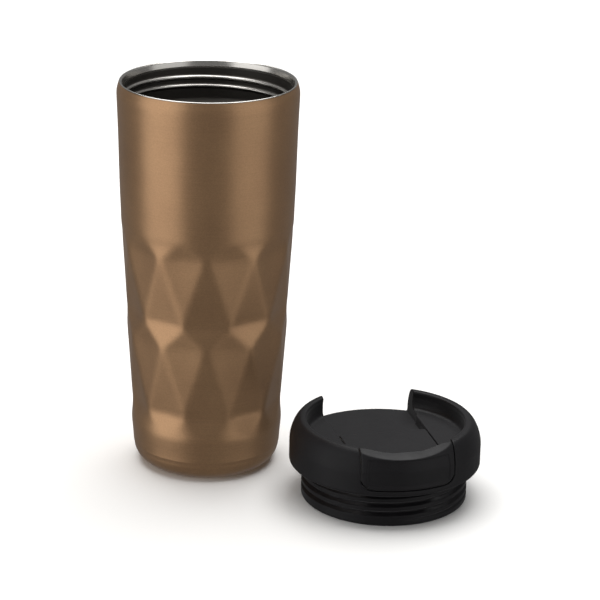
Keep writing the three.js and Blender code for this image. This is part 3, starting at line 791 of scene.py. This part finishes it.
def shoulder_corners(lid, steps=14):
    """The collar's rounded shoulder, from the straight side up and in to the lip."""
    across = lid.radius - SHOULDER_END
    rise = LID_TOP - lid.shoulder
    corners = []
    for step in range(steps + 1):
        angle = 0.5 * math.pi * step / steps
        r = lid.radius - across * (1 - math.cos(angle)) ** SHOULDER_FULLNESS
        corners.append((r / MM, (lid.shoulder + rise * math.sin(angle)) / MM, 0))
    return corners


def collar_outline(lid, bottom, lip_inner):
    """The collar's outside from a bottom height up over the lip and down its inner wall."""
    lip, top = lip_inner / MM, LID_TOP / MM
    return [(lid.radius / MM, bottom / MM, 0), *shoulder_corners(lid), (lip, top, 1.4),
            (lip + 0.8, top - 2.8, 0.8)]


def disc(name, radius, bottom, top, columns=192):
    """A plain closed disc, used as a tool or a filling."""
    return turned(name, [(0, bottom / MM, 0), (radius / MM, bottom / MM, 0), (radius / MM, top / MM, 0),
                         (0, top / MM, 0)], columns=columns)


def box_tool(name, x, y, z):
    """A box between two values along each axis."""
    return prism(name, [(x[0], y[0]), (x[1], y[0]), (x[1], y[1]), (x[0], y[1])], z[0], z[1])


def cross_rod(name, radius, x, columns=48):
    """A rod along X on the lever's hinge axis."""
    rod = turned(name, [(0, x[0] / MM, 0), (radius / MM, x[0] / MM, 0.15), (radius / MM, x[1] / MM, 0.15),
                        (0, x[1] / MM, 0)], columns=columns)
    turn = Matrix.Rotation(math.pi / 2, 4, "Y")
    rod.data.transform(Matrix.Translation((0, HINGE_PLACE[1], HINGE_PLACE[2])) @ turn)
    return rod


DRINK = {"y": -26 * MM, "half": 4 * MM, "radius": 3 * MM, "wall": 1.5 * MM}
VENT = {"y": -9 * MM, "radius": 1.3 * MM, "wall": 1.3 * MM}
PASSAGE_FOOT = 0.5 * MM
CORE_RADIUS = 31.8 * MM
CORE_TOP = 20 * MM
WELL = {"inner": 22 * MM, "outer": 29 * MM, "half": 11 * MM, "skin": 2 * MM}
BORE_RADIUS = 1.1 * MM
BORE_END = 25.4 * MM
PIN = {"radius": 0.8 * MM, "inner": 13.3 * MM, "outer": 25.1 * MM}
BARREL = {"radius": 1.9 * MM, "bore_start": 13 * MM}
REST_DEPTHS = (-37 * MM, -34.7 * MM)
OVERSHOOT = 6 * MM  # how far the cutting tools reach past the lid


def passage(name, spread, bottom, top):
    """The drink and vent passages as one tool, spread wider by that much."""
    drink = prism(name, slot_outline(DRINK["half"], DRINK["radius"] + spread, DRINK["y"]), bottom, top)
    vent = disc("vent_tool", VENT["radius"] + spread * 0.87, bottom, top, columns=48)
    vent.data.transform(Matrix.Translation((0, VENT["y"], 0)))
    return combine(drink, ("UNION", vent))


def lever_opening(lid):
    """Everything that is cut from the lid for the lever, its panel and the notch behind."""
    high, near = LID_TOP + OVERSHOOT, lid.radius + OVERSHOOT
    front = prism("front_cut", panel_outline(lid.notch_half, lid.notch_bottom, high, lid.corner),
                  -near, -20 * MM, axis="Y")
    wall = disc("wall_keep", lid.drink_wall_radius, 0, lid.drink_wall_top)
    rear = box_tool("rear_cut", (-lid.notch_half, lid.notch_half), (20 * MM, near), (lid.deck, high))
    channel = box_tool("channel", (-lid.channel_half, lid.channel_half), (-34 * MM, 30 * MM),
                       (lid.deck, high))
    return combine(front, ("DIFFERENCE", wall), ("UNION", rear), ("UNION", channel))


class TUMBLER_OT_lid_body(bpy.types.Operator):
    """Mould the lid's collar, deck and platforms with the openings for the lever"""

    bl_idname = "tumbler.lid_body"
    bl_label = "Lid Body"

    def execute(self, context):
        lid = context.scene.tumbler_lid
        wall, step, ledge = lid.platform_radius / MM, lid.platform / MM, lid.shelf / MM
        body = turned("lid_body_piece", [
            (0, ledge, 0), *collar_outline(lid, lid.shelf, lid.lip_inner), (wall - 1.4, step, 5.0),
            (0, step, 0),
        ], columns=256)
        skirt = turned("skirt", [
            (lid.skirt_radius / MM, lid.collar_bottom / MM, 0.2),
            (lid.radius / MM, lid.collar_bottom / MM, 0.8),
            (lid.radius / MM, lid.shelf / MM + 1, 0), (lid.skirt_radius / MM, lid.shelf / MM + 1, 0),
        ], closed=True, columns=256)
        core = disc("core", CORE_RADIUS, lid.shelf - 1 * MM, CORE_TOP)
        tubes = passage("tubes", DRINK["wall"], PASSAGE_FOOT, CORE_TOP + 1 * MM)
        holes = passage("holes", 0.0, -1 * MM, lid.deck + 1 * MM)
        combine(body, ("UNION", skirt), ("DIFFERENCE", core))
        for side in (-1, 1):
            x = sorted((side * WELL["inner"], side * WELL["outer"]))
            well = box_tool("well", x, (-WELL["half"], WELL["half"]),
                            (lid.shelf - 1 * MM, lid.platform - WELL["skin"]))
            combine(body, ("DIFFERENCE", well))
        combine(body, ("UNION", tubes), ("DIFFERENCE", lever_opening(lid)), ("DIFFERENCE", holes))
        bore = cross_rod("bore", BORE_RADIUS, (-BORE_END, BORE_END))
        combine(body, ("DIFFERENCE", bore))
        moulded(body, lid.voxel, 5)
        body.data.transform(LID_PLACE)
        finish_piece(body, shared(moulded_polypropylene), "lid", "black_plastic", "lid_body")
        # The standing lid isn't mirrored in the lacquer, so the wall's highlights stay whole.
        body.visible_glossy = False
        return {"FINISHED"}


# The insert's thread: the groove's middle at the back, its half width, and where it starts to cut in.
INSERT_THREAD_LEVEL = 7.75 * MM
GROOVE_HALF = 1.15 * MM
GROOVE_START = 2.4 * MM
GROOVE_RAMP = 1.2 * MM
INSERT_WALL = 3.2 * MM
INSERT_FLOOR = 1.6 * MM


def insert_radius(height, angles, lid, pitch):
    """Radius of the threaded insert at a height, with its helical groove."""
    cut = np.zeros_like(angles)
    for turns in range(-2, 6):
        centre = thread_height(angles + LID_TURN, turns, pitch, INSERT_THREAD_LEVEL)
        away = np.abs(height - centre)
        cut = np.maximum(cut, np.clip(1.35 * (1 - away / GROOVE_HALF), 0, 1))
    start = np.clip((height - GROOVE_START) / GROOVE_RAMP, 0, 1)
    end = np.clip((lid.collar_bottom - height) / MM, 0, 1)
    return lid.insert_radius - lid.groove_depth * cut * (start * end)


class TUMBLER_OT_lid_insert(bpy.types.Operator):
    """Mould the threaded insert under the lid, and the gasket above it"""

    bl_idname = "tumbler.lid_insert"
    bl_label = "Threaded Insert"

    def execute(self, context):
        lid = context.scene.tumbler_lid
        pitch = context.scene.tumbler_sizes.thread_pitch
        angles = around(288)
        outer, top, edge = lid.insert_radius, INSERT_TOP, 0.8 * MM
        bore, floor = outer - INSERT_WALL, INSERT_FLOOR
        rows = [ring_points(r * outer, 0.0, angles) for r in (0, 0.3, 0.6, 0.9)]
        for part in np.linspace(0, math.pi / 2, 5):
            rows.append(ring_points(outer - edge * (1 - math.sin(part)), edge * (1 - math.cos(part)), angles))
        for z in np.arange(1.0 * MM, top - 0.3 * MM, 0.18 * MM):
            rows.append(ring_points(insert_radius(z, angles, lid, pitch), z, angles))
        for r, z in ((outer - 0.6 * MM, top), (bore, top), (bore, floor), (bore * 0.5, floor), (0, floor)):
            rows.append(ring_points(r, z, angles))
        insert = publish("lid_insert_piece", *skin(np.array(rows), closed=False))
        combine(insert, ("DIFFERENCE", passage("slack", DRINK["wall"] + 0.3 * MM, -1 * MM, 12 * MM)))
        tidy(insert)
        insert.data.transform(LID_PLACE)
        finish_piece(insert, shared(moulded_polypropylene), "lid", "black_plastic", "lid_insert")
        insert.visible_glossy = False

        low, high = (z / MM for z in (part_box("lid_gasket")[0][2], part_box("lid_gasket")[1][2]))
        inside, outside = (lid.insert_radius - 0.3 * MM) / MM, (lid.skirt_radius - 0.3 * MM) / MM
        gasket = turned("lid_gasket_piece", [
            (inside, low, 0.3), (outside, low, 0.3), (outside, high, 0.3), (inside, high, 0.3),
        ], closed=True, place=LID_PLACE)
        finish_piece(gasket, shared(matt_silicone), "gasket", "silicone", "lid_gasket")
        return {"FINISHED"}


def bent_tool(name, turns, centre, reach, lift):
    """A thick round bar bent round the lid's axis between two turns, its middle lifted towards the ends."""
    columns = np.linspace(0, 2 * math.pi, 96, endpoint=False)
    rows = []
    for turn in np.linspace(*turns, 49):
        r = centre[0] + reach[0] * np.cos(columns)
        z = centre[1] + lift(turn) + reach[1] * np.sin(columns)
        rows.append(np.stack([r * math.sin(turn), -r * math.cos(turn), z], axis=-1))
    rows = [rows[0].mean(axis=0) + rows[0] * 0, *rows, rows[-1].mean(axis=0) + rows[-1] * 0]
    return publish(name, *skin(np.array(rows), closed=False))


# The scoop: half its span round the lid, its bar's centre and radius, and how it rises at the sides.
DIP_SPAN = math.radians(29)
DIP_CENTRE = (45.5 * MM, 52.7 * MM)
DIP_RADIUS = 22 * MM
DIP_RISE = 1.5 * MM
DIP_MIDDLE = math.radians(-2)


def dip_lift(turn):
    """How much higher the scoop is at a turn from the front than at its deepest place."""
    return DIP_RISE * ((turn - DIP_MIDDLE) / DIP_SPAN) ** 2


def thumb_dip():
    """Scoops the top of the front panel, deepest in the middle and running out at its sides."""
    ends = (-1.25 * DIP_SPAN, 1.25 * DIP_SPAN)
    return bent_tool("dip", ends, DIP_CENTRE, (DIP_RADIUS, DIP_RADIUS), dip_lift)


def stepped(value, width):
    """0 below zero and 1 above the width, with an eased step between."""
    t = np.clip(value / width, 0, 1)
    return t * t * (3 - 2 * t)


# The pressed face of the panel: its depth, the levels that it lies between and half its span.
FACE_DEPTH = 0.45 * MM
FACE_TOP = 31.5 * MM
FACE_FOOT = 19.4 * MM
FACE_SPAN = math.radians(26.6)
FACE_SKIN = 1.1 * MM  # only points this near the outer skin are pressed in


def press_face(made, lid):
    """Presses the panel's lower face in a little, so that a soft ridge is left under the scoop."""
    count = len(made.data.vertices)
    flat = np.empty(count * 3)
    made.data.vertices.foreach_get("co", flat)
    points = flat.reshape(-1, 3)
    radius, turn = np.hypot(points[:, 0], points[:, 1]), np.arctan2(points[:, 0], -points[:, 1])
    radii, levels = np.array([corner[:2] for corner in shoulder_corners(lid)]).T * MM
    skin_radius = np.interp(points[:, 2], levels, radii)
    share = stepped(FACE_TOP - points[:, 2], 0.7 * MM) * stepped(points[:, 2] - FACE_FOOT, 0.8 * MM)
    share *= stepped(FACE_SPAN - np.abs(turn), math.radians(1.3))
    share *= (radius > skin_radius - FACE_SKIN) & (np.abs(turn) < 1)
    points[:, :2] *= (1 - FACE_DEPTH * share / np.maximum(radius, MM))[:, None]
    made.data.vertices.foreach_set("co", points.ravel())
    made.data.update()


class TUMBLER_OT_lever(bpy.types.Operator):
    """Mould the flip lever with its panel, and make its plugs and hinge pins"""

    bl_idname = "tumbler.lever"
    bl_label = "Flip Lever"

    def execute(self, context):
        lid = context.scene.tumbler_lid
        plastic, rubber = shared(moulded_polypropylene), shared(matt_silicone)
        high, near = LID_TOP + OVERSHOOT, lid.radius + OVERSHOOT
        wall, foot = lid.platform_radius / MM, lid.plate_bottom / MM
        outside = collar_outline(lid, lid.plate_bottom, lid.panel_lip)
        panel = turned("flip_lever_piece", [(wall, foot, 0), *outside], closed=True, columns=256)
        face = turned("face", [
            (lid.panel_inner / MM, 17, 0), (lid.panel_radius / MM, 17, 0),
            (lid.panel_radius / MM, lid.plate_bottom / MM + 1, 0),
            (lid.panel_inner / MM, lid.plate_bottom / MM + 1, 0),
        ], closed=True, columns=256)
        outline = panel_outline(lid.panel_half, lid.panel_bottom, high, lid.corner)
        window = prism("window", outline, -near, -20 * MM, axis="Y")
        round_off = disc("round_off", lid.panel_radius, 0, high, columns=256)
        # A thicker back behind the panel's lip, which clears the collar's rear when turned over.
        rest = box_tool("rest", (-lid.panel_half, lid.panel_half), REST_DEPTHS,
                        (lid.plate_bottom, LID_TOP - 0.7 * MM))
        combine(rest, ("INTERSECT", disc("rest_keep", 38 * MM, 0, high)))
        combine(panel, ("UNION", face), ("UNION", rest), ("INTERSECT", window), ("INTERSECT", round_off),
                ("DIFFERENCE", thumb_dip()))
        plate = box_tool("plate", (-lid.lever_half, lid.lever_half), (-lid.platform_radius, HINGE_PLACE[1]),
                         (lid.plate_bottom, lid.platform))
        keep = disc("keep", lid.platform_radius + 0.1 * MM, 0, high)
        combine(plate, ("INTERSECT", keep))
        barrel = cross_rod("barrel", BARREL["radius"], (-lid.lever_half, lid.lever_half))
        combine(panel, ("UNION", plate), ("UNION", barrel))
        for side in (-1, 1):
            x = sorted((side * BARREL["bore_start"], side * (lid.lever_half + 1 * MM)))
            combine(panel, ("DIFFERENCE", cross_rod("bore", BORE_RADIUS, x)))
        moulded(panel, lid.voxel, 7)
        press_face(panel, lid)
        panel.data.transform(LID_PLACE)
        finish_piece(panel, plastic, "lever", "black_plastic", "flip_lever")

        low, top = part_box("drink_plug")[0][2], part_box("drink_plug")[1][2]
        lip_foot = lid.deck + 0.3 * MM
        plug = prism("drink_plug_piece", slot_outline(DRINK["half"], DRINK["radius"] - 0.3 * MM, DRINK["y"]),
                     low, lip_foot + 0.5 * MM)
        flange = prism("flange", slot_outline(DRINK["half"], DRINK["radius"] + 1.2 * MM, DRINK["y"]),
                       lip_foot, top)
        combine(plug, ("UNION", flange))
        moulded(plug, 0.2 * MM, 3)
        plug.data.transform(LID_PLACE)
        finish_piece(plug, rubber, "lever", "silicone", "drink_plug")

        low, top, lip_foot = low / MM, top / MM, lip_foot / MM
        vent = turned("vent_plug_piece", [
            (0, lip_foot - 1.3, 0), (1.0, lip_foot - 1.3, 0.4), (1.0, lip_foot, 0.1), (2.2, lip_foot, 0.3),
            (2.2, top, 0.2), (0, top, 0),
        ], columns=64, place=LID_PLACE @ Matrix.Translation((0, VENT["y"], 0)))
        finish_piece(vent, rubber, "lever", "silicone", "vent_plug")

        for side, label in ((-1, "left"), (1, "right")):
            x = sorted((side * PIN["inner"], side * PIN["outer"]))
            pin = cross_rod(f"hinge_pin_{label}_piece", PIN["radius"], x)
            pin.data.transform(LID_PLACE)
            tidy(pin)
            finish_piece(pin, shared(brushed_steel), "lid", "plain_steel", f"hinge_pin_{label}")
        return {"FINISHED"}


# ---- Stage ---------------------------------------------------------------------------------

CAMERA_PLACE = Vector((40.59, -972.96, 418.08)) * MM
CAMERA_PITCH = math.radians(19.472)
CAMERA_ROLL = math.radians(1.135)
CAMERA_LENS = 141.55
AIR = 0.21  # strength of the even light from all round
FLOOR_HALF = 5.0
# Soft lights as (name, azimuth from the camera side, distance, height, width, tall, watts).
SOFTBOXES = [
    ("left_softbox", -59, 1.3, 0.24, 1.4, 1.8, 9.6),
    ("right_softbox", 58, 1.4, 0.24, 1.4, 1.8, 5.0),
]
TOP_LIGHT = ("top_light", 180, 0.5, 1.9, 2.1, 2.1, 58.0)
LIGHT_AIM = Vector((0.03, 0, 0.1))


def softbox(name, azimuth, distance, height, width, tall, watts):
    """A rectangular soft light facing the object."""
    data = bpy.data.lights.new(name, "AREA")
    data.shape = "RECTANGLE"
    data.size, data.size_y, data.energy = width, tall, watts
    lamp = bpy.data.objects.new(name, data)
    bpy.context.scene.collection.objects.link(lamp)
    turn = math.radians(azimuth)
    lamp.location = Vector((math.sin(turn), -math.cos(turn), 0)) * distance + Vector((0, 0, height))
    lamp.rotation_euler = (LIGHT_AIM - lamp.location).to_track_quat("-Z", "Y").to_euler()
    return lamp


class TUMBLER_OT_stage(bpy.types.Operator):
    """Lay the pale floor, hang the soft lights and place the camera"""

    bl_idname = "tumbler.stage"
    bl_label = "Stage"

    def execute(self, context):
        scene = context.scene
        corners = [(x * FLOOR_HALF, y * FLOOR_HALF, 0) for x, y in ((-1, -1), (1, -1), (1, 1), (-1, 1))]
        floor = publish("floor", corners, [(0, 1, 2, 3)])
        floor.data.materials.append(shared(studio_paper))
        # The floor isn't mirrored in the steel and lacquer, and casts no shadow of its own.
        floor.visible_glossy = False
        floor.visible_shadow = False
        for values in SOFTBOXES:
            softbox(*values)
        top = softbox(*TOP_LIGHT)
        top.data.shape = "SQUARE"
        world = bpy.data.worlds.new("studio_air")
        world.use_nodes = True
        world.node_tree.nodes["Background"].inputs["Color"].default_value = (1, 1, 1, 1)
        world.node_tree.nodes["Background"].inputs["Strength"].default_value = AIR
        scene.world = world
        scene.view_settings.view_transform = "Standard"
        data = bpy.data.cameras.new("camera")
        data.lens = CAMERA_LENS
        data.sensor_width = 36
        camera = bpy.data.objects.new("camera", data)
        scene.collection.objects.link(camera)
        tilt = Matrix.Rotation(math.pi / 2 - CAMERA_PITCH, 4, "X")
        roll = Matrix.Rotation(CAMERA_ROLL, 4, "Z")
        camera.matrix_world = Matrix.Translation(CAMERA_PLACE) @ tilt @ roll
        data.clip_end = 50
        scene.camera = camera
        return {"FINISHED"}


# ---- Panel and registering -----------------------------------------------------------------

OPERATORS = (
    TUMBLER_OT_stage,
    TUMBLER_OT_outer_wall,
    TUMBLER_OT_lining,
    TUMBLER_OT_base,
    TUMBLER_OT_lid_body,
    TUMBLER_OT_lid_insert,
    TUMBLER_OT_lever,
)


class TUMBLER_PT_panel(bpy.types.Panel):
    """Lists the steps that build the tumbler"""

    bl_idname = "TUMBLER_PT_panel"
    bl_label = "Tumbler"
    bl_space_type = "VIEW_3D"
    bl_region_type = "UI"
    bl_category = "Tumbler"

    def draw(self, context):
        for operator in OPERATORS:
            self.layout.operator(operator.bl_idname)
        for group in (context.scene.tumbler_sizes, context.scene.tumbler_lid, context.scene.tumbler_colours):
            box = self.layout.box()
            for name in group.bl_rna.properties.keys():
                if name not in ("rna_type", "name"):
                    box.prop(group, name)


CLASSES = (TumblerSizes, LidSizes, FinishColours, *OPERATORS, TUMBLER_PT_panel)


def register():
    """Registers the classes and hangs the sizes and colours on the scene."""
    for cls in CLASSES:
        bpy.utils.register_class(cls)
    bpy.types.Scene.tumbler_sizes = PointerProperty(type=TumblerSizes)
    bpy.types.Scene.tumbler_lid = PointerProperty(type=LidSizes)
    bpy.types.Scene.tumbler_colours = PointerProperty(type=FinishColours)


def unregister():
    """Takes away all that register put in place."""
    del bpy.types.Scene.tumbler_colours
    del bpy.types.Scene.tumbler_lid
    del bpy.types.Scene.tumbler_sizes
    for cls in reversed(CLASSES):
        bpy.utils.unregister_class(cls)


def main():
    """Registers the classes and runs each step in order."""
    register()
    for operator in OPERATORS:
        category, name = operator.bl_idname.split(".")
        getattr(getattr(bpy.ops, category), name)()


if __name__ == "__main__":
    main()
